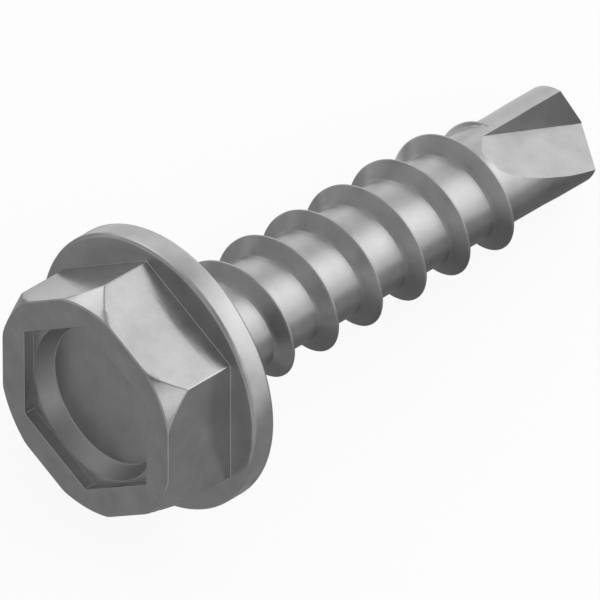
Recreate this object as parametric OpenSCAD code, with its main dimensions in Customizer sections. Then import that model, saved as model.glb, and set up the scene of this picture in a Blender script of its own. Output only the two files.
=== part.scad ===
// Self drilling screw: hexagon washer head, coarse right-hand thread, two-fluted drill point.
// One solid in millimetres. Each sub-part is drawn on the screw's own axis, +Z from head to tip,
// and lay_down() puts the whole screw on the floor as it lies: on its washer rim and its point,
// rolled until a lip of the point and the last turn of the thread carry it together.

/* [Head] */

// Size of the hexagon across two flats, the socket that drives the screw
head_af = 8; // [5.5:0.1:13]
// Height of the hexagon from its end face to the top of the washer
hex_h = 2.96; // [1.5:0.01:5]
// Diameter of the circle that the chamfer leaves on the end face
chamfer_d = 8.26; // [5.5:0.01:14]
// Angle of the chamfer, measured from the screw's axis
chamfer_angle = 27; // [15:0.1:60]

/* [Recess in the end face] */

// Size of the hexagonal sinking across two flats
recess_af = 5.85; // [2:0.05:9]
// Depth of the straight walls of the sinking
recess_wall = 0.45; // [0.2:0.05:1]
// Flat ledge between the straight walls and the cone of the sinking
recess_ledge = 0.06; // [0.02:0.01:0.3]
// Diameter of the flat bottom of the sinking
recess_floor_d = 5.2; // [1:0.05:8]
// Depth of the flat bottom below the end face
recess_depth = 1.1; // [0.5:0.05:2]

/* [Washer] */

// Diameter of the washer forged under the hexagon
washer_d = 10.3; // [8:0.05:16]
// Thickness of the washer at its rim
washer_t = 0.99; // [0.6:0.01:2]
// Radius that breaks both edges of the rim
rim_round = 0.16; // [0.05:0.01:0.4]

/* [Shank and thread] */

// Length of the screw under the head, from the bearing face to the tip
length = 20; // [16:0.5:50]
// Diameter over the crests of the thread
thread_d = 4.8; // [3.5:0.1:6.3]
// Diameter of the core between the threads
core_d = 3.62; // [2.4:0.01:5]
// Distance between two crests along the axis
pitch = 2.117; // [1.2:0.001:3]
// Angle between the two flanks of the thread
flank_angle = 80; // [40:1:90]
// Width of the flat left on the crest
crest_w = 0.06; // [0.04:0.01:0.3]
// Radius in the root, where a flank runs into the core
root_r = 0.5; // [0.1:0.01:0.6]
// Plain shank between the bearing face and the first rise of the thread
neck = 2.1; // [0.6:0.1:5]
// Turn over which the thread rises to its full height, in degrees
run_in = 120; // [40:5:240]
// Turn over which the last crest falls back to the core, in degrees
run_out = 120; // [30:5:180]
// Radius of the cone that eases the shank into the bearing face
under_head = 0.3; // [0.1:0.05:0.5]

/* [Drill point] */

// Diameter of the drill point
drill_d = 3.66; // [2.5:0.01:5.4]
// Length of the drill point from the end of the thread to the tip
drill_l = 4.18; // [3:0.01:9]
// Angle of the point between its two cutting lips
point_angle = 120; // [90:1:140]
// Slope of the light flute face against the axis
flute_slope = 17; // [10:0.5:30]
// Angle that a flute opens between its cutting face and its sloping face
flute_open = 120; // [90:1:135]
// Thickness left between the two flutes at the tip
web = 0.04; // [0.02:0.01:0.3]

/* [Smoothness] */

// Facets in one turn of the thread
turn_steps = 48; // [24:6:60]
// Facets in one turn of the head, the washer and the drill point
round_steps = 96; // [48:8:144]

/* [Hidden] */
zinc = [0.72, 0.73, 0.74];
bit = 0.01;
join = 0.2;
root_steps = 3;
rim_steps = 3;
rim_r = washer_d / 2 - rim_round;
core_r = core_d / 2;
thread_r = thread_d / 2;
drill_r = drill_d / 2;
hex_r = head_af / 2 / cos(30);
recess_r = recess_af / 2 / cos(30);
mouth_r = recess_af / 2 - recess_ledge;
bearing_z = hex_h + washer_t;
tip_z = bearing_z + length;
thread_end = tip_z - drill_l;
point_h = drill_r / tan(point_angle / 2);
shoulder_z = tip_z - point_h;
drill_z = thread_end + pitch / 2 + bit;
flute_turn = 180 - flute_open;
web_drop = web / 2 / tan(flute_slope);

// One turn of the thread takes turn_steps, and a whole number of steps fits between neck and point.
step_rise = pitch / turn_steps;
steps = floor((thread_end - bearing_z - neck) / step_rise);
first_z = thread_end - steps * step_rise;
in_steps = turn_steps * run_in / 360;
out_steps = turn_steps * run_out / 360;

// The ridge in section: root curve, flank, crest, flank, root curve, as [along the axis, rise].
ridge_h = thread_r - core_r;
root_turn = 90 - flank_angle / 2;
root_rise = root_r * (1 - cos(root_turn));
flank_w = (ridge_h - root_rise) * tan(flank_angle / 2);
foot = crest_w / 2 + flank_w + root_r * sin(root_turn);
root_curve = [for (k = [0 : root_steps])
    [root_r * sin(root_turn * k / root_steps) - foot,
     root_r * (1 - cos(root_turn * k / root_steps))]];
half_ridge = concat(root_curve, [[-crest_w / 2, ridge_h]]);
half_n = len(half_ridge);
ridge = concat([[-pitch / 2, 0]], half_ridge,
    [for (k = [half_n - 1 : -1 : 0]) [-half_ridge[k][0], half_ridge[k][1]]]);
row = len(ridge);

function fade(w) = max(0, min(1, w / in_steps, (steps - w) / out_steps));
function around(w, r, z) = [r * cos(360 * w / turn_steps), r * sin(360 * w / turn_steps), z];
function crest_z(w) = first_z + w * step_rise;
function ring(z) = [for (w = [0 : turn_steps - 1]) around(w - steps, core_r, z)];

// Points of the thread come first, a row for each step, then the last half groove and two end rings.
thread_points = [for (w = [0 : steps], p = ridge)
    around(w - steps, core_r + p[1] * fade(w), crest_z(w) + p[0])];
last_points = [for (w = [steps - turn_steps + 1 : steps])
    around(w - steps, core_r, crest_z(w) + pitch / 2)];
last_at = len(thread_points);
low_at = last_at + turn_steps;
high_at = low_at + turn_steps;

function at(w, j) = j < row ? w * row + j
    : w + turn_steps <= steps ? (w + turn_steps) * row
    : last_at + w - (steps - turn_steps + 1);
function low(w) = low_at + w % turn_steps;
function high(w) = high_at + w % turn_steps;

// The last turns of the ridge stand over the flutes. A band round them is kept out of the flute cut:
// it takes in keep_turn degrees of ridge and stops keep_tail degrees before its end, reaches keep_in
// into the core and keep_out past the crests, and leaves keep_gap beside the foot and at mid groove.
keep_turn = 600;
keep_tail = run_out / 3;
keep_in = 0.6;
keep_out = 0.5;
keep_gap = 0.03;
keep_foot = foot + keep_gap;
keep_low = pitch / 2 - keep_gap;
keep_lean = (keep_low - keep_foot) / keep_in;
keep_top = max(crest_w, keep_foot - keep_lean * (ridge_h + keep_out));
keep_from = max(0, steps - round(turn_steps * keep_turn / 360));
keep_to = steps - round(turn_steps * keep_tail / 360);

// The rest pose: lean() is the dip of the axis at which a point r below it, at z, touches the floor
// together with the washer's rim. The lip touches after roll degrees, when the crest does too.
rim_z = bearing_z - rim_round;
function lean(r, z) = atan((rim_r - r) / (z - rim_z)) + asin(rim_round / norm([z - rim_z, rim_r - r]));
function rest_crest(turned) = thread_end - pitch * (180 - turned) / 360;
function lip_share(z) = (thread_r - (shoulder_z - z) * tan(lean(thread_r, z))) / drill_r;
function roll_for(turned) = acos(max(cos(flute_open / 2), min(1, lip_share(rest_crest(turned)))));
roll = roll_for(roll_for(0));
tilt = min(lean(thread_r, rest_crest(roll)), lean(drill_r * cos(roll), shoulder_z));
rest_h = rim_z * sin(tilt) + rim_r * cos(tilt) + rim_round;
rear_x = -chamfer_d / 2 * sin(tilt);
front_x = tip_z * cos(tilt);

module hexagon_head() {
    difference() {
        intersection() {
            cylinder(h = hex_h + join, r = hex_r, $fn = 6);
            chamfer_cone();
        }
        recess();
    }
}

module chamfer_cone() {
    grow = (hex_h + join) * tan(chamfer_angle);
    cylinder(h = hex_h + join, r1 = chamfer_d / 2, r2 = chamfer_d / 2 + grow, $fn = round_steps);
}

module recess() {
    cone_h = recess_depth - recess_wall + bit;
    translate([0, 0, -join])
        cylinder(h = recess_wall + join, r = recess_r, $fn = 6);
    translate([0, 0, recess_wall - bit])
        cylinder(h = cone_h, r1 = mouth_r, r2 = recess_floor_d / 2, $fn = round_steps);
}

// The washer is turned from half its section, with both rim edges broken by a small radius.
module washer() {
    edge = [for (k = [0 : rim_steps])
        rim_round * [sin(90 * k / rim_steps), 1 - cos(90 * k / rim_steps)]];
    low_edge = [for (k = [0 : rim_steps]) [rim_r + edge[k][0], edge[k][1]]];
    high_edge = [for (k = [rim_steps : -1 : 0]) [rim_r + edge[k][0], washer_t - edge[k][1]]];
    translate([0, 0, hex_h])
        rotate_extrude($fn = round_steps)
            polygon(concat([[0, 0]], low_edge, high_edge, [[0, washer_t]]));
}

module under_head_cone() {
    foot_r = core_r + under_head;
    translate([0, 0, bearing_z - join])
        cylinder(h = join, r = foot_r, $fn = round_steps);
    translate([0, 0, bearing_z])
        cylinder(h = under_head, r1 = foot_r, r2 = core_r + bit, $fn = round_steps);
}

// Core and thread are one skin, so that the flanks run into the core without a seam.
module threaded_shank() {
    top = row - 1;
    sides = [for (w = [0 : steps - 1], j = [0 : top]) each [
        [at(w, j), at(w, j + 1), at(w + 1, j + 1)], [at(w, j), at(w + 1, j + 1), at(w + 1, j)]]];
    low_side = [for (w = [0 : turn_steps - 2]) each [
        [low(w), at(w, 0), at(w + 1, 0)], [low(w), at(w + 1, 0), low(w + 1)]]];
    low_step = concat([[low(turn_steps - 1), at(turn_steps - 1, 0), low(0)]],
        [[at(turn_steps - 1, 0), at(0, 0), low(0)]],
        [for (j = [0 : top]) [at(turn_steps - 1, 0), at(0, j + 1), at(0, j)]]);
    from = steps - turn_steps + 1;
    high_side = [for (w = [from : steps - 1]) each [
        [at(w, row), high(w), high(w + 1)], [at(w, row), high(w + 1), at(w + 1, row)]]];
    high_step = concat([[at(from, row), high(steps), high(from)]],
        [[at(from, row), at(steps, row), high(steps)]],
        [for (j = [0 : top]) [at(from, row), at(steps, j), at(steps, j + 1)]]);
    low_end = [[for (w = [0 : turn_steps - 1]) low(w)]];
    high_end = [[for (w = [turn_steps - 1 : -1 : 0]) high(w)]];
    polyhedron(
        points = concat(thread_points, last_points, ring(bearing_z - join), ring(drill_z + join)),
        faces = concat(sides, low_side, low_step, high_side, high_step, low_end, high_end),
        convexity = 10);
}

module drill_body() {
    translate([0, 0, drill_z])
        cylinder(h = shoulder_z - drill_z, r = drill_r, $fn = round_steps);
    translate([0, 0, shoulder_z])
        cylinder(h = point_h, r1 = drill_r, r2 = 0, $fn = round_steps);
}

module ridge_keep() {
    section = [[-keep_top, thread_r + keep_out], [keep_top, thread_r + keep_out],
        [keep_low, core_r - keep_in], [-keep_low, core_r - keep_in]];
    rows = keep_to - keep_from;
    sides = [for (w = [0 : rows - 1], j = [0 : 3]) each [
        [w * 4 + j, w * 4 + (j + 1) % 4, w * 4 + 4 + (j + 1) % 4],
        [w * 4 + j, w * 4 + 4 + (j + 1) % 4, w * 4 + 4 + j]]];
    polyhedron(
        points = [for (w = [keep_from : keep_to], p = section)
            around(w - steps, p[1], crest_z(w) + p[0])],
        faces = concat([[3, 2, 1, 0]], sides, [[for (j = [0 : 3]) rows * 4 + j]]),
        convexity = 10);
}

// A flute is the space between the cutting face, which holds the axis, and the sloping face.
module flute() {
    reach = 3 * drill_l;
    intersection() {
        translate([-reach, web / 2, thread_end - drill_l])
            cube([2 * reach, reach, reach]);
        translate([0, 0, tip_z - web_drop])
            rotate([0, 0, flute_turn / 2])
                rotate([0, -flute_slope, 0])
                    translate([0, -reach, -reach])
                        cube([reach, 2 * reach, 2 * reach]);
    }
}

module lay_down() {
    translate([-(rear_x + front_x) / 2, 0, rest_h])
        rotate([0, tilt, 0])
            rotate([180, 0, 0])
                rotate([0, 90, 0])
                    rotate([0, 0, -roll])
                        children();
}

module screw() {
    color(zinc)
        lay_down()
            difference() {
                union() {
                    hexagon_head();
                    washer();
                    under_head_cone();
                    threaded_shank();
                    drill_body();
                }
                difference() {
                    union() {
                        flute();
                        rotate([0, 0, 180]) flute();
                    }
                    ridge_keep();
                }
            }
}

screw();
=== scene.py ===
import math

import bmesh
import bpy
from bpy.props import FloatProperty, IntProperty, PointerProperty, StringProperty
from mathutils import Matrix, Vector


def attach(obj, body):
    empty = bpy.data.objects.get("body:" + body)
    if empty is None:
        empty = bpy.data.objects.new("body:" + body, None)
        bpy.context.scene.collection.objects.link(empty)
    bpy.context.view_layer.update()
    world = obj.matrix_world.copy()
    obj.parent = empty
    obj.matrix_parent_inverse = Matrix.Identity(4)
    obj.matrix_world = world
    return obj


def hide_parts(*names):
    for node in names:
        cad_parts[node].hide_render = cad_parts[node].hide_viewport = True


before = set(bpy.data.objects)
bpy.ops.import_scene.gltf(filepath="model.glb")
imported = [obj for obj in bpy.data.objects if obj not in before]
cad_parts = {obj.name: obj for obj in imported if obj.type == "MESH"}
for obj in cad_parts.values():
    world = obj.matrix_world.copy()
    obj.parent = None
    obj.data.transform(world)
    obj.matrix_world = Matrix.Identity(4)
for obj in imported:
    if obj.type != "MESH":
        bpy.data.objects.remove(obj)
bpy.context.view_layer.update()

bl_info = {
    "name": "Self Drilling Screw",
    "version": (1, 0, 0),
    "blender": (4, 5, 0),
    "location": "View3D > Sidebar > Screw",
    "description": "Hexagon washer head screw with a rolled thread and a fluted drill point",
    "category": "Add Mesh",
}

MM = 0.001
FULL_TURN = 2 * math.pi
CAD_NODE = "screw"
BODY = "root"
PLACE = "screw_mm"  # each point's place on the screw's own axis, in millimetres
WELD = 0.8e-6  # points nearer than this many metres are one point
SHARP = math.radians(24)  # faces that meet at more than this keep a crisp edge


def length(name, description, mm):
    """A length that a user may change, given here in millimetres."""
    return FloatProperty(
        name=name, description=description, default=mm * MM, min=0.0,
        subtype="DISTANCE", unit="LENGTH", precision=5)


def angle(name, description, degrees):
    """An angle that a user may change, given here in degrees."""
    return FloatProperty(
        name=name, description=description, default=math.radians(degrees),
        subtype="ANGLE", unit="ROTATION")


def factor(name, description, default):
    """A value between 0 and 1 that a user may change."""
    return FloatProperty(
        name=name, description=description, default=default, min=0.0, max=1.0,
        subtype="FACTOR")


class HeadSizes(bpy.types.PropertyGroup):
    """Sizes of the hexagon, its recess and the washer under it."""

    across_flats: length("Across flats", "Hexagon between two flats", 8.0)
    hex_height: length("Hexagon height", "From the end face to the washer", 2.96)
    chamfer_width: length("Chamfer circle", "Diameter the chamfer leaves on the end face", 8.26)
    chamfer_angle: angle("Chamfer angle", "Slope of the chamfer from the screw's axis", 27.0)
    corner_round: length("Corner radius", "Rounding of the six upright edges", 0.06)
    edge_round: length("Edge radius", "Rounding of the end face's outer edge", 0.05)
    crease_round: length("Crease width", "Softening where the chamfer meets a flat", 0.025)
    recess_flats: length("Recess across flats", "Hexagonal sinking between two flats", 5.85)
    recess_wall: length("Recess wall", "Depth of the sinking's straight walls", 0.45)
    recess_ledge: length("Recess ledge", "Flat ledge between walls and cone", 0.05)
    recess_floor: length("Recess floor", "Diameter of the sinking's flat bottom", 5.2)
    recess_depth: length("Recess depth", "From the end face to the flat bottom", 1.1)
    washer_width: length("Washer diameter", "Diameter of the forged washer", 10.295)
    washer_height: length("Washer thickness", "Thickness of the washer at its rim", 0.99)
    rim_round: length("Rim radius", "Rounding of both rim edges", 0.16)
    neck_cone: length("Neck cone", "Cone that eases the shank into the washer", 0.3)


class ThreadSizes(bpy.types.PropertyGroup):
    """Sizes of the shank and the rolled thread."""

    shank_length: length("Length", "From the bearing face to the tip", 20.0)
    crest_width: length("Thread diameter", "Diameter over the crests", 4.8)
    core_width: length("Core diameter", "Diameter between the threads", 3.62)
    pitch: length("Pitch", "Distance between two crests", 2.117)
    flank_angle: angle("Flank angle", "Angle between the two flanks", 64.0)
    crest_flat: length("Crest flat", "Width of the flat on the crest", 0.06)
    crest_soft: length("Crest softening", "Height over which the crest is rounded", 0.02)
    root_round: length("Root radius", "Curve from a flank into the core", 0.05)
    sink_soft: length("Sink softening", "Softening where the ridge sinks into the core", 0.12)
    ridge_turns: FloatProperty(
        name="Turns", description="Turns of the ridge from its first rise to its end",
        default=311 / 48, min=1.0)
    run_in: angle("Run-in", "Turn over which the ridge rises", 120.0)
    run_out: angle("Run-out", "Turn over which the ridge falls", 120.0)
    turn_steps: IntProperty(
        name="Steps per turn", description="Facets in one turn of the thread",
        default=120, min=12)
    pitch_rows: IntProperty(
        name="Rows per pitch", description="Facets from one groove to the next",
        default=44, min=8)


class PointSizes(bpy.types.PropertyGroup):
    """Sizes of the drill point and its flutes."""

    drill_width: length("Drill diameter", "Diameter of the drill point", 3.66)
    drill_length: length("Drill length", "From the end of the ridge to the tip", 4.18)
    point_angle: angle("Point angle", "Angle between the two cutting lips", 120.0)
    flute_slope: angle("Flute slope", "Slope of the flute's long face", 18.3)
    flute_open: angle("Flute opening", "Angle from cutting face to long face", 120.0)
    web: length("Web", "Steel left between the flutes at the tip", 0.04)
    keep_turn: angle("Whole ridge", "Turn of ridge that the flutes leave whole", 600.0)
    keep_in: length("Ridge foot depth", "Core kept under a ridge", 0.6)
    keep_out: length("Ridge clearance", "Space kept over a crest", 0.5)
    keep_gap: length("Foot gap", "Space beside a ridge's foot", 0.03)


class FinishValues(bpy.types.PropertyGroup):
    """Colours and gloss of the zinc plate, with the painted shade on the recess's cone."""

    zinc_hex: StringProperty(
        name="Zinc", description="Colour of the plated steel", default="BEBEBE")
    zinc_dark_hex: StringProperty(
        name="Zinc, dark patches", description="Colour of the thinner plate", default="8F8F8F")
    # Painted shade: a darker grey laid on the recess's cone.
    recess_shade_hex: StringProperty(
        name="Zinc in the recess", description="Colour of the thin plate on the recess's cone",
        default="A0A0A0")
    roughness: factor("Roughness", "Gloss of the plated surface", 0.31)
    burnish: factor("Burnish", "How much smoother the die leaves the hexagon's flats", 0.11)
    burnish_from: length("Burnished from", "Distance from the axis where the burnish starts", 3.55)
    recess_dull: factor("Recess dullness", "How much rougher the recess's cone is", 0.15)


class StudioValues(bpy.types.PropertyGroup):
    """The floor and the key light."""

    floor_hex: StringProperty(
        name="Floor", description="Colour of the floor", default="FAFAFA")
    floor_white: factor(
        "Floor white", "How far the camera and reflections see the floor as plain white", 0.9)
    floor_reach: length("Floor reach", "From the middle of the floor to its sides", 3000.0)
    key_distance: length("Key distance", "From the screw to the key light", 250.0)
    key_size: length("Key size", "Side of the key light's soft box", 250.0)
    key_power: FloatProperty(
        name="Key power", description="Power of the key light", default=0.05, min=0.0,
        unit="POWER")


GROUPS = {
    "screw_head": HeadSizes,
    "screw_thread": ThreadSizes,
    "screw_point": PointSizes,
    "screw_finish": FinishValues,
    "screw_studio": StudioValues,
}


class Layout:
    """The scene's values, the lengths along the screw's own axis, and how it lies on the floor."""

    seam = 0.01 * MM  # the drill body starts this far past the last groove

    def __init__(self):
        scene = bpy.context.scene
        self.head, self.thread, self.point = scene.screw_head, scene.screw_thread, scene.screw_point
        self.finish, self.studio = scene.screw_finish, scene.screw_studio
        head, thread, point = self.head, self.thread, self.point
        self.bearing = head.hex_height + head.washer_height
        self.tip = self.bearing + thread.shank_length
        self.ridge_end = self.tip - point.drill_length
        self.core = thread.core_width / 2
        self.crest = thread.crest_width / 2
        self.drill = point.drill_width / 2
        self.shoulder = self.tip - self.drill / math.tan(point.point_angle / 2)
        self.neck = self.bearing + head.neck_cone
        self.drill_start = self.ridge_end + thread.pitch / 2 + self.seam
        self.rise = self.crest - self.core
        self.root_turn = math.pi / 2 - thread.flank_angle / 2
        root_rise = thread.root_round * (1 - math.cos(self.root_turn))
        flank = (self.rise - root_rise) * math.tan(thread.flank_angle / 2)
        self.root_reach = thread.root_round * math.sin(self.root_turn)
        self.foot = thread.crest_flat / 2 + flank + self.root_reach
        self.rest(head, thread, point)

    def rest(self, head, thread, point):
        """The screw lies on its washer rim, its last thread turn and a lip of its point."""
        rim_z = self.bearing - head.rim_round
        rim_r = head.washer_width / 2 - head.rim_round

        def lean(r, z):
            gap = math.hypot(z - rim_z, rim_r - r)
            return math.atan((rim_r - r) / (z - rim_z)) + math.asin(head.rim_round / gap)

        def crest_z(turned):
            return self.ridge_end - thread.pitch * (math.pi - turned) / FULL_TURN

        def roll_for(turned):
            z = crest_z(turned)
            fall = (self.shoulder - z) * math.tan(lean(self.crest, z))
            share = (self.crest - fall) / self.drill
            return math.acos(max(math.cos(point.flute_open / 2), min(1.0, share)))

        # The roll moves the crest that the screw lies on, so it is worked out twice.
        self.roll = roll_for(roll_for(0.0))
        self.tilt = min(
            lean(self.crest, crest_z(self.roll)),
            lean(self.drill * math.cos(self.roll), self.shoulder))
        height = rim_z * math.sin(self.tilt) + rim_r * math.cos(self.tilt) + head.rim_round
        rear = -head.chamfer_width / 2 * math.sin(self.tilt)
        front = self.tip * math.cos(self.tilt)
        start = Matrix.Translation((-(rear + front) / 2, 0, height))
        dip = Matrix.Rotation(self.tilt, 4, "Y")
        over = Matrix.Rotation(math.pi, 4, "X") @ Matrix.Rotation(math.pi / 2, 4, "Y")
        self.place = start @ dip @ over @ Matrix.Rotation(-self.roll, 4, "Z")


def mesh_object(name, points, faces):
    """A new mesh object from points and faces."""
    mesh = bpy.data.meshes.new(name)
    mesh.from_pydata(points, [], faces)
    mesh.update()
    made = bpy.data.objects.new(name, mesh)
    bpy.context.scene.collection.objects.link(made)
    return made


class Skin:
    """Rings of points round the axis, joined one after another into a closed skin."""

    def __init__(self):
        self.points, self.faces, self.last = [], [], None

    def ring(self, around, place):
        """Adds a ring; place(a) gives (radius, z) at azimuth a."""
        first = len(self.points)
        for a in around:
            r, z = place(a)
            self.points.append((r * math.cos(a), r * math.sin(a), z))
        new = list(range(first, len(self.points)))
        if self.last and len(self.last) == len(new):
            n = len(new)
            for k in range(n):
                m = (k + 1) % n
                self.faces.append((self.last[k], new[k], new[m], self.last[m]))
        elif self.last:
            self.zip_to(new)
        self.last = new

    def zip_to(self, new):
        """Joins rings of unlike numbers of points by triangles, going round both in step."""
        def turn(i):
            x, y, _ = self.points[i]
            return math.atan2(y, x) % FULL_TURN
        old = sorted(self.last, key=turn)
        new = sorted(new, key=turn)
        i = j = 0
        while i < len(old) or j < len(new):
            next_old = turn(old[i + 1]) if i + 1 < len(old) else turn(old[0]) + FULL_TURN
            next_new = turn(new[j + 1]) if j + 1 < len(new) else turn(new[0]) + FULL_TURN
            a, b = old[i % len(old)], new[j % len(new)]
            if j >= len(new) or (i < len(old) and next_old <= next_new):
                self.faces.append((a, b, old[(i + 1) % len(old)]))
                i += 1
            else:
                self.faces.append((a, b, new[(j + 1) % len(new)]))
                j += 1

    def tip(self, z):
        """Closes the last ring with one point on the axis."""
        self.points.append((0.0, 0.0, z))
        end, n = len(self.points) - 1, len(self.last)
        for k in range(n):
            self.faces.append((self.last[k], end, self.last[(k + 1) % n]))

    def start(self, z, around, place):
        """Opens the skin with one point on the axis, before its first ring."""
        self.points.append((0.0, 0.0, z))
        self.ring(around, place)
        n = len(self.last)
        for k in range(n):
            self.faces.append((0, self.last[k], self.last[(k + 1) % n]))


def hexagon_at(a, inner, corner_round):
    """Radius of a hexagon with rounded corners at azimuth a; its corners stand at 0, 60, 120."""
    off_corner = abs((a + math.pi / 6) % (math.pi / 3) - math.pi / 6)
    off_flat = math.pi / 6 - off_corner
    reach = (inner - corner_round) / math.cos(math.pi / 6)
    if math.tan(off_flat) * inner <= (inner - corner_round) * math.tan(math.pi / 6):
        return inner / math.cos(off_flat)
    side = corner_round ** 2 - (reach * math.sin(off_corner)) ** 2
    return reach * math.cos(off_corner) + math.sqrt(max(0.0, side))


def soft_min(a, b, width):
    """The smaller of two numbers, with the corner between them rounded over width."""
    h = max(width - abs(a - b), 0.0) / width
    return min(a, b) - h * h * width / 4


def quarter(steps, first=0):
    """Angles of a rounding of a quarter turn, from its first step to its last."""
    return [math.pi / 2 * k / steps for k in range(first, steps + 1)]


# Azimuths in degrees from a corner towards a side's middle, close together where it is round.
CORNER_STEPS = (
    0, 0.2, 0.42, 0.66, 0.95, 1.3, 1.8, 2.5, 3.5, 5, 7, 9, 11.5, 14, 16.5, 19, 21.5, 24, 27)

# The head's finest roundings, which catch a thin line of light each.
MOUTH_LIP = 0.04 * MM  # the mouth of the recess
RECESS_CORNER = 0.12 * MM  # the six upright corners of the recess
CONE_SOFT = 0.05 * MM  # the top and the foot of the recess's cone
WALL_FOOT = 0.006 * MM  # the foot of the recess's walls
HEX_FOOT = 0.04 * MM  # the foot of the hexagon on the washer

# Heights of the rings on both sides of the crease between chamfer and flat.
CREASE_RINGS = tuple(off * MM for off in (-0.12, -0.08, -0.04, 0, 0.04, 0.08, 0.12))
CREASE_REACH = CREASE_RINGS[-1]
CREASE_HIGHEST = 0.3 * MM  # the crease comes no nearer to the end face than this

# Rings in millimetres: on the bearing face, outward from the neck's cone, the first with the
# head's columns and the second with the thread's; then the cone's foot and top, also along it.
BEARING_RINGS = (1.4, 0.7)
CONE_FOOT_RINGS = ((0.12, 0), (0.03, 0.02), (-0.03, 0.06))
CONE_TOP_RING = (0.03, -0.05)


def head_azimuths():
    """Azimuths of the head's columns, in one turn."""
    side = [*CORNER_STEPS, 30, *(60 - s for s in reversed(CORNER_STEPS[1:]))]
    return [math.radians(60 * k + s) for k in range(6) for s in side]


def round_azimuths(at):
    """Azimuths of the columns of shank and point, in one turn."""
    steps = at.thread.turn_steps
    return [FULL_TURN * k / steps for k in range(steps)]


def recess_rings(skin, head, around):
    """The recess, from its flat bottom up its cone and walls, with its mouth's rounded lip."""
    sink = head.recess_flats / 2
    floor_r, mouth_r = head.recess_floor / 2, sink - head.recess_ledge
    depth, top, soft = head.recess_depth, head.recess_wall, CONE_SOFT

    def wall(a):
        return hexagon_at(a, sink, RECESS_CORNER)

    skin.start(depth, around, lambda a: (floor_r * 0.5, depth))
    for r, z in (
            (floor_r - soft, depth), (floor_r - soft * 0.3, depth - soft * 0.35),
            (floor_r + soft * 0.2, depth - soft), (mouth_r - soft * 0.2, top + soft),
            (mouth_r + soft * 0.1, top + soft * 0.2), (mouth_r + soft * 0.6, top)):
        skin.ring(around, lambda a, r=r, z=z: (r, z))
    for inset, z in (
            (WALL_FOOT, top), (0.0, top - WALL_FOOT), (0.0, top * 0.5), (0.0, MOUTH_LIP)):
        skin.ring(around, lambda a, inset=inset, z=z: (wall(a) - inset, z))
    for t in quarter(3, first=1):
        skin.ring(around, lambda a, t=t: (
            wall(a) + MOUTH_LIP * (1 - math.cos(t)), MOUTH_LIP * (1 - math.sin(t))))
    return wall


def hexagon_rings(skin, head, around, wall):
    """The end face, its rounded edge, the chamfer and the flats, down to the washer."""
    inner, chamfer = head.across_flats / 2, head.chamfer_width / 2
    slope, edge, base = math.tan(head.chamfer_angle), head.edge_round, head.hex_height

    def outer(a, z):
        flat = hexagon_at(a, inner, head.corner_round)
        return soft_min(flat, chamfer + z * slope, head.crease_round)

    def crease(a):
        flat = hexagon_at(a, inner, head.corner_round)
        return max(CREASE_HIGHEST, (flat - chamfer) / slope)

    def side_ring(height):
        """Adds a ring on the hexagon's side; height(a) gives its z at azimuth a."""
        def place(a):
            z = height(a)
            return outer(a, z), z
        skin.ring(around, place)

    skin.ring(around, lambda a: (wall(a) * 0.5 + outer(a, 0) * 0.5, 0))
    for t in quarter(5):
        drop = edge * (1 - math.cos(t))
        skin.ring(around, lambda a, t=t, drop=drop: (
            outer(a, drop) - edge * (1 - math.sin(t)), drop))
    for share in (0.2, 0.4, 0.6, 0.8):
        side_ring(lambda a, s=share: edge + (crease(a) - CREASE_REACH - edge) * s)
    for off in CREASE_RINGS:
        side_ring(lambda a, off=off: crease(a) + off)
    for share in (0.25, 0.5, 0.75, 1.0):
        side_ring(lambda a, s=share: (crease(a) + CREASE_REACH) * (1 - s) + (base - HEX_FOOT) * s)
    for t in quarter(3, first=1):
        skin.ring(around, lambda a, t=t: (
            outer(a, base) + HEX_FOOT * (1 - math.cos(t)), base - HEX_FOOT * (1 - math.sin(t))))
    return outer


def washer_rings(skin, at, around, outer):
    """The washer, from the hexagon's foot round its rim to the bearing face."""
    base, r = at.head.hex_height, at.head.rim_round
    rim = at.head.washer_width / 2
    skin.ring(around, lambda a: (outer(a, base) * 0.4 + (rim - r) * 0.6, base))
    for t in quarter(6):
        skin.ring(around, lambda a, t=t: (
            rim - r + r * math.sin(t), base + r * (1 - math.cos(t))))
    for t in reversed(quarter(6)):
        skin.ring(around, lambda a, t=t: (
            rim - r + r * math.sin(t), at.bearing - r * (1 - math.cos(t))))


def head_skin(at):
    """The cold-forged head: recess, end face, chamfer, flats, washer, down to the neck's ring."""
    around, turn = head_azimuths(), round_azimuths(at)
    skin = Skin()
    wall = recess_rings(skin, at.head, around)
    outer = hexagon_rings(skin, at.head, around, wall)
    washer_rings(skin, at, around, outer)
    foot = at.core + at.head.neck_cone
    for columns, off in zip((around, turn), BEARING_RINGS):
        skin.ring(columns, lambda a, off=off: (foot + off * MM, at.bearing))
    for off, up in CONE_FOOT_RINGS:
        skin.ring(turn, lambda a, off=off, up=up: (foot + off * MM, at.bearing + up * MM))
    off, up = CONE_TOP_RING
    skin.ring(turn, lambda a: (at.core + off * MM, at.neck + up * MM))
    skin.ring(turn, lambda a: (at.core, at.neck))
    return skin


def point_skin(at):
    """The plain drill body behind the ridge's end, and its cone."""
    turn = round_azimuths(at)
    skin = Skin()
    skin.ring(turn, lambda a: (at.core, at.drill_start))
    for share in (0.33, 0.66, 1.0):
        z = at.drill_start * (1 - share) + at.shoulder * share
        skin.ring(turn, lambda a, z=z: (at.drill, z))
    skin.ring(turn, lambda a: (at.drill * 0.5, (at.shoulder + at.tip) / 2))
    skin.tip(at.tip)
    return skin


def node(tree, kind, settings=None, **links):
    """Adds a node; links go to its inputs by name or number, as sockets or plain values."""
    made = tree.nodes.new(kind)
    for key, value in (settings or {}).items():
        setattr(made, key, value)
    for key, value in links.items():
        numbered = key[0] == "i" and key[1:].isdigit()
        socket = made.inputs[int(key[1:])] if numbered else made.inputs[key]
        if isinstance(value, bpy.types.NodeSocket):
            tree.links.new(value, socket)
        else:
            socket.default_value = value
    return made


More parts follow.
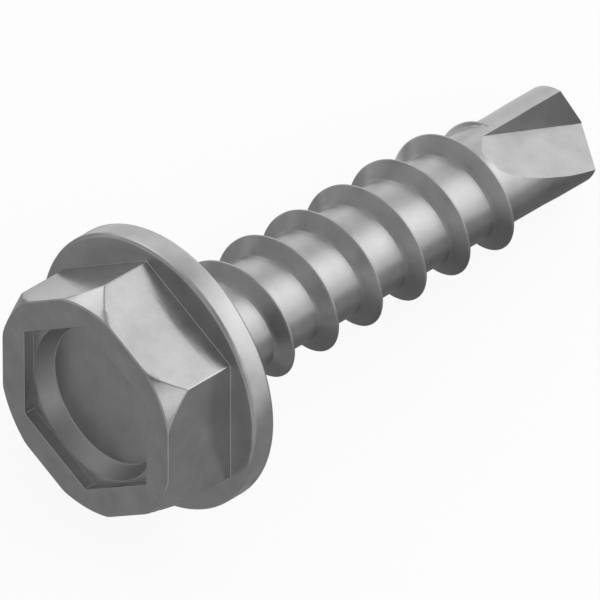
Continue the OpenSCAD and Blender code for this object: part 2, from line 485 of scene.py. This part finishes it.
ROW_CROWDING = 1.35  # over 1, the rows of the thread's grid lie closer near the crest

THREAD_NUMBERS = (
    "Pitch", "Core radius", "Rise", "Crest softening", "Sink softening", "Root radius",
    "Root reach", "Foot", "Flank slope", "Ridge steps", "Run-in steps", "Run-out steps",
    "Ridge end", "Low end", "High end")
THREAD_COUNTS = ("Turn steps", "Steps before", "Columns", "Rows")

# The rule of the thread, one Math node a row: the name of its result, the operation, and what
# it works on, which are numbers, inputs of the tree, or results of rows above. The grid gives
# x and y, both from -0.5 to 0.5.
THREAD_RULE = (
    # Step along the helix, counted from the ridge's end.
    ("steps", "SUBTRACT", "Columns", 1.0),
    ("from start", "ADD", "x", 0.5),
    ("along", "MULTIPLY", "from start", "steps"),
    ("whole", "ROUND", "along"),
    ("step", "SUBTRACT", "whole", "Steps before"),
    # Place across one pitch, from the crest to the middle of the groove on either side.
    ("y off", "ABSOLUTE", "y"),
    ("y share", "MULTIPLY", "y off", 2.0),
    ("crowded", "POWER", "y share", ROW_CROWDING),
    ("half pitch", "MULTIPLY", "Pitch", 0.5),
    ("off", "MULTIPLY", "crowded", "half pitch"),
    ("side", "SIGN", "y"),
    ("across", "MULTIPLY", "off", "side"),
    # Height of the section: root curve, flank, then the crest with its edges softened.
    ("inside foot", "SUBTRACT", "Foot", "off"),
    ("from foot", "MAXIMUM", "inside foot", 0.0),
    ("in root", "MINIMUM", "from foot", "Root reach"),
    ("radius squared", "MULTIPLY", "Root radius", "Root radius"),
    ("reach squared", "MULTIPLY", "in root", "in root"),
    ("drop squared", "SUBTRACT", "radius squared", "reach squared"),
    ("drop", "SQRT", "drop squared"),
    ("root", "SUBTRACT", "Root radius", "drop"),
    ("past root", "SUBTRACT", "from foot", "Root reach"),
    ("on flank", "MAXIMUM", "past root", 0.0),
    ("flank", "MULTIPLY", "on flank", "Flank slope"),
    ("sharp height", "ADD", "root", "flank"),
    ("height", "SMOOTH_MIN", "sharp height", "Rise", "Crest softening"),
    # The ridge comes out of the core over its first steps, and sinks back over its last.
    ("since start", "ADD", "step", "Ridge steps"),
    ("rising", "DIVIDE", "since start", "Run-in steps"),
    ("to end", "MULTIPLY", "step", -1.0),
    ("falling", "DIVIDE", "to end", "Run-out steps"),
    ("lower", "MINIMUM", "rising", "falling"),
    ("capped", "MINIMUM", "lower", 1.0),
    ("share", "MAXIMUM", "capped", 0.0),
    ("share sunk", "SUBTRACT", 1.0, "share"),
    ("sunk", "MULTIPLY", "Rise", "share sunk"),
    ("out", "SUBTRACT", "Rise", "sunk"),
    ("room", "MINIMUM", "sunk", "out"),
    ("blend", "MINIMUM", "Sink softening", "room"),
    ("raw height", "SUBTRACT", "height", "sunk"),
    ("above", "SMOOTH_MAX", "raw height", 0.0, "blend"),
    ("radius", "ADD", "Core radius", "above"),
    # Round the axis and along it, cut level where the head and the point join on.
    ("turns", "DIVIDE", "step", "Turn steps"),
    ("turn", "MULTIPLY", "turns", FULL_TURN),
    ("climb", "MULTIPLY", "turns", "Pitch"),
    ("on helix", "ADD", "Ridge end", "climb"),
    ("free z", "ADD", "on helix", "across"),
    ("over low", "MAXIMUM", "free z", "Low end"),
    ("z", "MINIMUM", "over low", "High end"),
    ("cosine", "COSINE", "turn"),
    ("sine", "SINE", "turn"),
    ("to x", "MULTIPLY", "radius", "cosine"),
    ("to y", "MULTIPLY", "radius", "sine"),
)


def thread_tree():
    """Geometry Nodes: a grid laid round the axis along the helix, lifted to the ridge's section."""
    tree = bpy.data.node_groups.new("Rolled thread", "GeometryNodeTree")
    face = tree.interface
    face.new_socket("Geometry", in_out="OUTPUT", socket_type="NodeSocketGeometry")
    for name in THREAD_NUMBERS:
        face.new_socket(name, in_out="INPUT", socket_type="NodeSocketFloat")
    for name in THREAD_COUNTS:
        face.new_socket(name, in_out="INPUT", socket_type="NodeSocketInt")
    face.new_socket("Material", in_out="INPUT", socket_type="NodeSocketMaterial")
    given = node(tree, "NodeGroupInput").outputs

    grid = node(tree, "GeometryNodeMeshGrid", i0=1.0, i1=1.0, i2=given["Columns"], i3=given["Rows"])
    position = node(tree, "GeometryNodeInputPosition").outputs[0]
    spot = node(tree, "ShaderNodeSeparateXYZ", i0=position).outputs
    known = {"x": spot[0], "y": spot[1]}
    known.update((name, given[name]) for name in THREAD_NUMBERS + THREAD_COUNTS)
    for name, operation, *parts in THREAD_RULE:
        links = {f"i{k}": known.get(part, part) for k, part in enumerate(parts)}
        made = node(tree, "ShaderNodeMath", {"operation": operation, "label": name}, **links)
        known[name] = made.outputs[0]

    laid_at = node(
        tree, "ShaderNodeCombineXYZ", i0=known["to x"], i1=known["to y"], i2=known["z"])
    laid = node(
        tree, "GeometryNodeSetPosition", Geometry=grid.outputs[0], Position=laid_at.outputs[0])
    welded = node(
        tree, "GeometryNodeMergeByDistance", Geometry=laid.outputs[0], Distance=WELD)
    real = node(tree, "GeometryNodeRealizeInstances", Geometry=welded.outputs[0])
    done = node(
        tree, "GeometryNodeSetMaterial", Geometry=real.outputs[0], Material=given["Material"])
    node(tree, "NodeGroupOutput", i0=done.outputs[0])
    return tree


def thread_mesh(at, material):
    """Runs the thread tree with this screw's values, and keeps its result as a plain mesh."""
    thread = at.thread
    n = thread.turn_steps
    climb = thread.pitch / n
    ridge = thread.ridge_turns * n
    half = thread.pitch / 2
    before = math.ceil(ridge + (at.ridge_end - ridge * climb - at.neck + half) / climb) + 1
    after = math.ceil((at.drill_start - at.ridge_end + half) / climb) + 1
    values = {
        "Pitch": thread.pitch,
        "Core radius": at.core,
        "Rise": at.rise,
        "Crest softening": thread.crest_soft,
        "Sink softening": thread.sink_soft,
        "Root radius": thread.root_round,
        "Root reach": at.root_reach,
        "Foot": at.foot,
        "Flank slope": 1 / math.tan(thread.flank_angle / 2),
        "Ridge steps": ridge,
        "Run-in steps": n * thread.run_in / FULL_TURN,
        "Run-out steps": n * thread.run_out / FULL_TURN,
        "Ridge end": at.ridge_end,
        "Low end": at.neck,
        "High end": at.drill_start,
        "Turn steps": n,
        "Steps before": before,
        "Columns": before + after + 1,
        "Rows": thread.pitch_rows + 1,
        "Material": material,
    }
    carrier = mesh_object("thread_carrier", [(0, 0, 0)], [])
    tree = thread_tree()
    rolled = carrier.modifiers.new("Rolled thread", "NODES")
    rolled.node_group = tree
    for item in tree.interface.items_tree:
        if item.in_out == "INPUT":
            rolled[item.identifier] = values[item.name]
    shape = carrier.evaluated_get(bpy.context.evaluated_depsgraph_get())
    mesh = bpy.data.meshes.new_from_object(shape)
    carrier.modifiers.clear()
    bpy.data.objects.remove(carrier)
    return mesh


def flute_space(at):
    """The space of one flute, between its cutting face and its long sloping face."""
    point = at.point
    reach = 3 * point.drill_length  # well past the screw on every open side
    low, high = at.ridge_end - point.drill_length, at.ridge_end - point.drill_length + reach
    bm = bmesh.new()
    bmesh.ops.create_cube(bm, size=1.0)
    for v in bm.verts:
        v.co.x *= 2 * reach
        v.co.y = point.web / 2 if v.co.y < 0 else reach
        v.co.z = low if v.co.z < 0 else high
    lead, slope = (math.pi - point.flute_open) / 2, point.flute_slope
    level = math.cos(slope)
    face = Vector((level * math.cos(lead), level * math.sin(lead), math.sin(slope)))
    start = Vector((0, 0, at.tip - point.web / 2 / math.tan(slope)))
    found = bmesh.ops.bisect_plane(
        bm, geom=bm.verts[:] + bm.edges[:] + bm.faces[:], plane_co=start, plane_no=face,
        clear_inner=True)
    edges = [g for g in found["geom_cut"] if isinstance(g, bmesh.types.BMEdge)]
    bmesh.ops.holes_fill(bm, edges=edges)
    bmesh.ops.recalc_face_normals(bm, faces=bm.faces[:])
    whole = [v.co.copy() for v in bm.verts], [[v.index for v in f.verts] for f in bm.faces]
    bm.free()
    return whole


def both_flutes(at):
    """The space of the two flutes: one, and the same again half a turn round."""
    flutes = mesh_object("flutes", *flute_space(at))
    other = flutes.data.copy()
    other.transform(Matrix.Rotation(math.pi, 4, "Z"))
    both = bmesh.new()
    both.from_mesh(flutes.data)
    both.from_mesh(other)
    both.to_mesh(flutes.data)
    both.free()
    return flutes


def ridge_band(at):
    """A band round the last turns of the ridge, which the flutes leave whole."""
    thread, point = at.thread, at.point
    n = thread.turn_steps
    foot = at.foot + point.keep_gap
    low = thread.pitch / 2 - point.keep_gap
    lean = (low - foot) / point.keep_in
    top = max(thread.crest_flat, foot - lean * (at.rise + point.keep_out))
    outside, inside = at.crest + point.keep_out, at.core - point.keep_in
    section = [(-top, outside), (top, outside), (low, inside), (-low, inside)]
    # The band ends in the last third of the run-out, where the flutes may cut the low ridge.
    full = n / FULL_TURN
    first, last = -round(full * point.keep_turn), -round(full * thread.run_out / 3)
    points, faces = [], []
    for k in range(first, last + 1):
        a = FULL_TURN * k / n
        z = at.ridge_end + k * thread.pitch / n
        points += [(r * math.cos(a), r * math.sin(a), z + p) for p, r in section]
    rows = last - first
    for w in range(rows):
        for j in range(4):
            m = (j + 1) % 4
            faces.append((w * 4 + j, w * 4 + m, w * 4 + 4 + m, w * 4 + 4 + j))
    faces += [(3, 2, 1, 0), tuple(rows * 4 + j for j in range(4))]
    return points, faces


def face_outward(obj):
    """Turns all faces of a closed mesh object outward."""
    bm = bmesh.new()
    bm.from_mesh(obj.data)
    bmesh.ops.recalc_face_normals(bm, faces=bm.faces[:])
    bm.to_mesh(obj.data)
    bm.free()


def cut(target, tool):
    """Takes tool's space out of target, and deletes tool."""
    face_outward(tool)
    change = target.modifiers.new("Cut", "BOOLEAN")
    change.operation, change.solver, change.object = "DIFFERENCE", "EXACT", tool
    shape = target.evaluated_get(bpy.context.evaluated_depsgraph_get())
    mesh = bpy.data.meshes.new_from_object(shape)
    target.modifiers.clear()
    target.data = mesh
    bpy.data.objects.remove(tool)


def uncut_screw(at, material):
    """Head, thread and drill body as one closed skin, before the flutes are cut."""
    bm = bmesh.new()
    for skin in (head_skin(at), point_skin(at)):
        part = bpy.data.meshes.new("part")
        part.from_pydata(skin.points, [], skin.faces)
        bm.from_mesh(part)
    bm.from_mesh(thread_mesh(at, material))
    bmesh.ops.remove_doubles(bm, verts=bm.verts[:], dist=WELD)
    open_edges = [e for e in bm.edges if len(e.link_faces) != 2]
    if open_edges:
        raise RuntimeError(f"the screw's skin has {len(open_edges)} open edges")
    bmesh.ops.recalc_face_normals(bm, faces=bm.faces[:])
    screw = mesh_object("screw_body", [], [])
    bm.to_mesh(screw.data)
    bm.free()
    return screw


def lay_down(screw, at):
    """Notes each point's place on the screw's own axis, then lays the screw on the floor."""
    bm = bmesh.new()
    bm.from_mesh(screw.data)
    bmesh.ops.dissolve_degenerate(bm, edges=bm.edges[:], dist=WELD)
    place = bm.verts.layers.float_vector.new(PLACE)
    for v in bm.verts:
        v[place] = v.co / MM
    bmesh.ops.transform(bm, matrix=at.place, verts=bm.verts[:])
    bmesh.ops.recalc_face_normals(bm, faces=bm.faces[:])
    bm.to_mesh(screw.data)
    bm.free()


def linear(hex_colour):
    """An sRGB hex colour as linear light, with alpha."""
    parts = [int(hex_colour[k:k + 2], 16) / 255 for k in (0, 2, 4)]
    light = [c / 12.92 if c <= 0.04045 else ((c + 0.055) / 1.055) ** 2.4 for c in parts]
    return (*light, 1.0)


WHITE = linear("FFFFFF")

# The zinc plate's patterns, by their real sizes in millimetres. Grain and rolling lines are
# finer on a real screw, too fine to show in the picture, so they are drawn as coarse as this.
CLOUD_MM = 1.25  # patches of thinner and thicker plate
GRAIN_MM = 0.0625
LINES_PER_MM = (0.5, 0.5, 22.0)  # long round the shank, and close together along its axis
LINES_SHARE = 0.6  # how deep the rolling lines are, where the grain is 1
RELIEF_MM = 0.002  # full height of the grain
RELIEF_STRENGTH = 0.6
UNEVEN_RANGE = (0.6, 1.4)  # clouds and grain added up, from the smoothest place to the roughest
ROUGH_RANGE = (-0.05, 0.07)  # what those two places change in the roughness

# Where the burnished flats, and the painted shade and dull plate on the recess's cone, begin and
# end, in millimetres.
BURNISH_EDGE_MM = 0.15  # width over which the burnish comes in
BURNISH_STOP_MM = 0.005  # the burnish stops this far short of the washer
SHADE_DULL_EDGE_MM = 0.02  # depth over which the painted shade and the dull plate come in
SHADE_DULL_STOP_MM = 0.01  # the painted shade and the dull plate stop this far short of the flat bottom
SHADE_DULL_REACH_MM = 0.1  # the painted shade and the dull plate reach this far past the recess's flats


def zinc_material(at):
    """Zinc plate on cold-forged and rolled steel, plated loose in a barrel.

    To the eye it is a plain grey metal with a satin mirror: soft broad highlights along the
    core, faintly clouded, with a fine grain, and sharper in the flats that the die burnished.
    """
    head, finish = at.head, at.finish
    material = bpy.data.materials.new("zinc_plated_steel_barrel_plated")
    material.use_nodes = True
    tree = material.node_tree
    tree.nodes.clear()
    place = node(tree, "ShaderNodeAttribute", {"attribute_name": PLACE}).outputs["Vector"]

    # Soft clouds of thinner and thicker plate.
    clouds = node(
        tree, "ShaderNodeTexNoise", Vector=place, Scale=1 / CLOUD_MM, Detail=5.0, Roughness=0.65)
    colour = node(
        tree, "ShaderNodeMix", {"data_type": "RGBA"}, i0=clouds.outputs["Fac"],
        i6=linear(finish.zinc_dark_hex), i7=linear(finish.zinc_hex))

    # The die burnishes the flats of the hexagon, so the washer mirrors in them more sharply.
    spot = node(tree, "ShaderNodeSeparateXYZ", i0=place).outputs
    off_axis = node(tree, "ShaderNodeCombineXYZ", i0=spot[0], i1=spot[1])
    radius = node(
        tree, "ShaderNodeVectorMath", {"operation": "LENGTH"}, i0=off_axis.outputs[0])
    outer = node(
        tree, "ShaderNodeMapRange", i0=radius.outputs["Value"],
        i1=finish.burnish_from / MM, i2=finish.burnish_from / MM + BURNISH_EDGE_MM)
    on_hexagon = node(
        tree, "ShaderNodeMath", {"operation": "LESS_THAN"}, i0=spot[2],
        i1=head.hex_height / MM - BURNISH_STOP_MM)
    burnished = node(
        tree, "ShaderNodeMath", {"operation": "MULTIPLY"}, i0=outer.outputs[0],
        i1=on_hexagon.outputs[0])

    # The recess's cone is painted darker, as painted shade, and its plate is made duller too.
    below = node(
        tree, "ShaderNodeMapRange", i0=spot[2],
        i1=head.recess_wall / MM, i2=head.recess_wall / MM + SHADE_DULL_EDGE_MM)
    above = node(
        tree, "ShaderNodeMath", {"operation": "LESS_THAN"}, i0=spot[2],
        i1=head.recess_depth / MM - SHADE_DULL_STOP_MM)
    within = node(
        tree, "ShaderNodeMath", {"operation": "LESS_THAN"}, i0=radius.outputs["Value"],
        i1=head.recess_flats / 2 / MM + SHADE_DULL_REACH_MM)
    shaded_dull_cone = node(
        tree, "ShaderNodeMath", {"operation": "MULTIPLY"}, i0=below.outputs[0],
        i1=above.outputs[0])
    shaded_dull_cone = node(
        tree, "ShaderNodeMath", {"operation": "MULTIPLY"}, i0=shaded_dull_cone.outputs[0],
        i1=within.outputs[0])
    # Painted shade: the recess's cone takes the darker recess grey.
    colour = node(
        tree, "ShaderNodeMix", {"data_type": "RGBA"}, i0=shaded_dull_cone.outputs[0],
        i6=colour.outputs[2], i7=linear(finish.recess_shade_hex))

    # Fine grain of the plate, and the faint lines that the rolling dies leave round the shank.
    grain = node(
        tree, "ShaderNodeTexNoise", Vector=place, Scale=1 / GRAIN_MM, Detail=2.0, Roughness=0.6)
    wound = node(
        tree, "ShaderNodeVectorMath", {"operation": "MULTIPLY"}, i0=place, i1=LINES_PER_MM)
    lines = node(
        tree, "ShaderNodeTexNoise", Vector=wound.outputs[0], Scale=1.0, Detail=2.0)
    relief = node(
        tree, "ShaderNodeMath", {"operation": "MULTIPLY_ADD"}, i0=lines.outputs["Fac"],
        i1=LINES_SHARE, i2=grain.outputs["Fac"])
    bump = node(
        tree, "ShaderNodeBump", Strength=RELIEF_STRENGTH, Distance=RELIEF_MM * MM,
        Height=relief.outputs[0])

    # Roughness: clouds and grain together, less the burnish, more on the recess's cone.
    uneven = node(
        tree, "ShaderNodeMath", {"operation": "ADD"}, i0=clouds.outputs["Fac"],
        i1=grain.outputs["Fac"])
    rough = node(
        tree, "ShaderNodeMapRange", i0=uneven.outputs[0], i1=UNEVEN_RANGE[0], i2=UNEVEN_RANGE[1],
        i3=finish.roughness + ROUGH_RANGE[0], i4=finish.roughness + ROUGH_RANGE[1])
    smooth = node(
        tree, "ShaderNodeMath", {"operation": "MULTIPLY_ADD"}, i0=burnished.outputs[0],
        i1=-finish.burnish, i2=rough.outputs[0])
    dull = node(
        tree, "ShaderNodeMath", {"operation": "MULTIPLY_ADD"}, i0=shaded_dull_cone.outputs[0],
        i1=finish.recess_dull, i2=smooth.outputs[0])
    metal = node(
        tree, "ShaderNodeBsdfPrincipled", Metallic=1.0, Roughness=dull.outputs[0],
        Normal=bump.outputs[0])
    tree.links.new(colour.outputs[2], metal.inputs["Base Color"])
    node(tree, "ShaderNodeOutputMaterial", Surface=metal.outputs[0])
    return material


class SCREW_OT_forge(bpy.types.Operator):
    """Make the whole screw: forged head, rolled thread, fluted drill point"""

    bl_idname = "screw.forge"
    bl_label = "Forge and roll the screw"

    def execute(self, context):
        at = Layout()
        material = zinc_material(at)
        screw = uncut_screw(at, material)
        flutes = both_flutes(at)
        cut(flutes, mesh_object("ridge_band", *ridge_band(at)))
        cut(screw, flutes)
        lay_down(screw, at)
        mesh = screw.data
        mesh.materials.clear()
        mesh.materials.append(material)
        mesh.shade_smooth()
        mesh.set_sharp_from_angle(angle=SHARP)
        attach(screw, BODY)
        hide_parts(CAD_NODE)
        return {"FINISHED"}


# Camera: one very long lens, because the photograph has no perspective. The sight lengths and
# the depth, in millimetres, lead from the middle of the screw's end face to the point looked at.
FRAME_PX = 600
PX_PER_MM = 29.35
SIGHT_ALONG = 8.13
SIGHT_ACROSS = 0.457
MID_DEPTH = -7.0
LENS = 1500.0
SENSOR = 36.0
CLIP = (0.01, 20.0)
PICTURE_LEAN = math.pi / 6  # the screw's axis rises by this much in the picture


def camera_axes(at):
    """Right, up and back of the camera, and the picture's ways along and across the screw.

    The camera looks at the screw along the photograph's line of sight, which makes the same
    angle with the screw's x, y and axis.
    """
    turn = at.place.to_3x3()
    x, y, axis = (turn @ Vector(v) for v in ((1, 0, 0), (0, 1, 0), (0, 0, 1)))
    along = axis * math.sqrt(2 / 3) + (x + y) / math.sqrt(6)
    across = (y - x) / math.sqrt(2)
    back = (x + y - axis) / math.sqrt(3)
    c, s = math.cos(PICTURE_LEAN), math.sin(PICTURE_LEAN)
    return along * c + across * s, along * s - across * c, back, along, across


def photo_camera(at):
    """The camera at the photograph's viewing angle, and the point that it looks at."""
    right, up, back, along, across = camera_axes(at)
    sight = along * SIGHT_ALONG + across * SIGHT_ACROSS + back * MID_DEPTH
    target = at.place.translation + sight * MM
    data = bpy.data.cameras.new("camera")
    data.lens, data.sensor_width = LENS, SENSOR
    data.clip_start, data.clip_end = CLIP
    camera = bpy.data.objects.new("camera", data)
    bpy.context.scene.collection.objects.link(camera)
    width = FRAME_PX / PX_PER_MM * MM
    distance = width * LENS / SENSOR
    facing = Matrix((right, up, back)).transposed().to_4x4()
    camera.matrix_world = Matrix.Translation(target + back * distance) @ facing
    return camera, target


def lay_floor(studio):
    """The pale floor: it keeps the screw's shadow, and camera and metal see it nearly white."""
    w = studio.floor_reach
    floor = mesh_object("floor", [(-w, -w, 0), (w, -w, 0), (w, w, 0), (-w, w, 0)], [(0, 1, 2, 3)])
    paper = bpy.data.materials.new("pale_floor_paper")
    paper.use_nodes = True
    tree = paper.node_tree
    tree.nodes.clear()
    lit = node(tree, "ShaderNodeBsdfDiffuse", Color=linear(studio.floor_hex))
    white = node(tree, "ShaderNodeEmission", Color=WHITE, Strength=1.0)
    ray = node(tree, "ShaderNodeLightPath").outputs
    seen = node(
        tree, "ShaderNodeMath", {"operation": "MAXIMUM"}, i0=ray["Is Camera Ray"],
        i1=ray["Is Glossy Ray"])
    seen = node(
        tree, "ShaderNodeMath", {"operation": "MAXIMUM"}, i0=seen.outputs[0],
        i1=ray["Is Transmission Ray"])
    share = node(
        tree, "ShaderNodeMath", {"operation": "MULTIPLY"}, i0=seen.outputs[0],
        i1=studio.floor_white)
    both = node(
        tree, "ShaderNodeMixShader", i0=share.outputs[0], i1=lit.outputs[0],
        i2=white.outputs[0])
    node(tree, "ShaderNodeOutputMaterial", Surface=both.outputs[0])
    floor.data.materials.append(paper)


def soft_light(name, centre, towards, distance, size, power):
    """A square soft box that faces the screw's middle."""
    data = bpy.data.lights.new(name, "AREA")
    data.shape, data.size, data.energy = "SQUARE", size, power
    lamp = bpy.data.objects.new(name, data)
    way = Vector(towards).normalized()
    lamp.location = centre + way * distance
    lamp.rotation_mode = "QUATERNION"
    lamp.rotation_quaternion = way.to_track_quat("Z", "Y")
    lamp.visible_camera = False
    bpy.context.scene.collection.objects.link(lamp)


# Flat cards on the floor that only reflections see, as a photographer's flags: name, height
# over the floor in millimetres, brightness, and outline in millimetres.
CARDS = (
    # Beside the head, the grey card is a painted shadow: the end face mirrors it where the head's
    # shadow falls on the floor.
    ("grey_card", 0.03, 0.37, (
        (-100, -6), (-18, -6), (-12, -200), (60, -200), (60, 1.5), (4, 1.5), (4, 10.5),
        (-6, 10.5), (0, 30), (20, 100), (-30, 100), (-18, 14), (-100, 12))),
    ("near_pale_card", 0.03, 0.62, ((-100, -200), (-12, -200), (-18, -6), (-100, -6))),
    ("far_pale_card", 0.03, 0.7, ((-100, 12), (-18, 14), (-30, 100), (-100, 100))),
    # Painted shadow: the black card lies under the screw, and the metal mirrors it in place of the
    # screw's shadow on the floor.
    ("black_card", 0.04, 0.2, ((-6, -6), (18, -6), (18, 1), (-6, 1))),
)


def reflection_card(name, height, glow, outline):
    """One flat card that only reflections see."""
    points = [(x * MM, y * MM, height * MM) for x, y in outline]
    card = mesh_object(name, points, [tuple(range(len(outline)))])
    grey = bpy.data.materials.new(name)
    grey.use_nodes = True
    tree = grey.node_tree
    tree.nodes.clear()
    shine = node(tree, "ShaderNodeEmission", Color=WHITE, Strength=glow)
    node(tree, "ShaderNodeOutputMaterial", Surface=shine.outputs[0])
    card.data.materials.append(grey)
    card.visible_camera = card.visible_diffuse = card.visible_shadow = False


# The room's light falls off upwards, and from one side to the other.
ROOM_FALL = (0, 0, -0.78)
ROOM_SIDE = (0.42, 0.24, 0)

# Feathered soft boxes in the room: direction (None is the key's), spread in degrees, and peak.
# A peak below nothing is a feathered black flag, which takes light away.
SOFT_BOXES = (
    (None, 21, 1.25),
    ((-0.3, 0.3, 0.9), 20, 0.35),
    ((-0.82, -0.15, 0.55), 25, 0.17),
    ((0.0, -0.35, 0.94), 14, -0.3),
    ((-0.5, 0.85, 0.15), 20, -0.6),
    ((-0.037, 0.859, 0.511), 14, 1.3),
    ((-0.18, -0.713, 0.679), 12, 1.1),
)


def studio_world(key):
    """A white sweep of wall under a dimmer ceiling, with feathered soft boxes and flags."""
    world = bpy.data.worlds.new("studio")
    world.use_nodes = True
    tree = world.node_tree
    ray = node(tree, "ShaderNodeTexCoord").outputs["Generated"]
    shades = []
    for fall in (ROOM_FALL, ROOM_SIDE):
        dot = node(tree, "ShaderNodeVectorMath", {"operation": "DOT_PRODUCT"}, i0=ray, i1=fall)
        shade = node(
            tree, "ShaderNodeMath", {"operation": "ADD"}, i0=dot.outputs["Value"], i1=1.0)
        shades.append(shade.outputs[0])
    total = node(
        tree, "ShaderNodeMath", {"operation": "MULTIPLY"}, i0=shades[0], i1=shades[1]).outputs[0]
    for centre, spread, peak in SOFT_BOXES:
        aim = Vector(centre).normalized() if centre else key
        near = node(tree, "ShaderNodeVectorMath", {"operation": "DOT_PRODUCT"}, i0=ray, i1=aim)
        fade = 1 / math.radians(spread) ** 2
        power = node(
            tree, "ShaderNodeMath", {"operation": "MULTIPLY_ADD"}, i0=near.outputs["Value"],
            i1=fade, i2=-fade)
        glow = node(tree, "ShaderNodeMath", {"operation": "EXPONENT"}, i0=power.outputs[0])
        total = node(
            tree, "ShaderNodeMath", {"operation": "MULTIPLY_ADD"}, i0=glow.outputs[0], i1=peak,
            i2=total).outputs[0]
    sky = tree.nodes["Background"]
    sky.inputs["Color"].default_value = WHITE
    tree.links.new(total, sky.inputs["Strength"])
    return world


class SCREW_OT_stage(bpy.types.Operator):
    """Set the floor, the soft light and the camera"""

    bl_idname = "screw.stage"
    bl_label = "Set the stage"

    def execute(self, context):
        at = Layout()
        scene, studio = context.scene, at.studio
        lay_floor(studio)
        scene.camera, target = photo_camera(at)
        # The key stands as far round towards the point as the camera does towards the head.
        key = at.place.to_3x3() @ Vector((1, 1, 1)).normalized()
        soft_light("key", target, key, studio.key_distance, studio.key_size, studio.key_power)
        for card in CARDS:
            reflection_card(*card)
        scene.world = studio_world(key)
        scene.view_settings.view_transform = "Standard"
        return {"FINISHED"}


class SCREW_PT_panel(bpy.types.Panel):
    """The screw's tools and values, in the 3D view's sidebar"""

    bl_idname = "SCREW_PT_panel"
    bl_label = "Self Drilling Screw"
    bl_space_type = "VIEW_3D"
    bl_region_type = "UI"
    bl_category = "Screw"

    def draw(self, context):
        for name, group in GROUPS.items():
            box = self.layout.box()
            values = getattr(context.scene, name)
            for key in group.__annotations__:
                box.prop(values, key)
        for step in STEPS:
            self.layout.operator(step.bl_idname)


STEPS = (SCREW_OT_forge, SCREW_OT_stage)
CLASSES = (*GROUPS.values(), *STEPS, SCREW_PT_panel)


def register():
    for made in CLASSES:
        bpy.utils.register_class(made)
    for name, group in GROUPS.items():
        setattr(bpy.types.Scene, name, PointerProperty(type=group))


def unregister():
    for name in GROUPS:
        delattr(bpy.types.Scene, name)
    for made in reversed(CLASSES):
        bpy.utils.unregister_class(made)


def main():
    register()
    bpy.ops.screw.forge()
    bpy.ops.screw.stage()


if __name__ == "__main__":
    main()
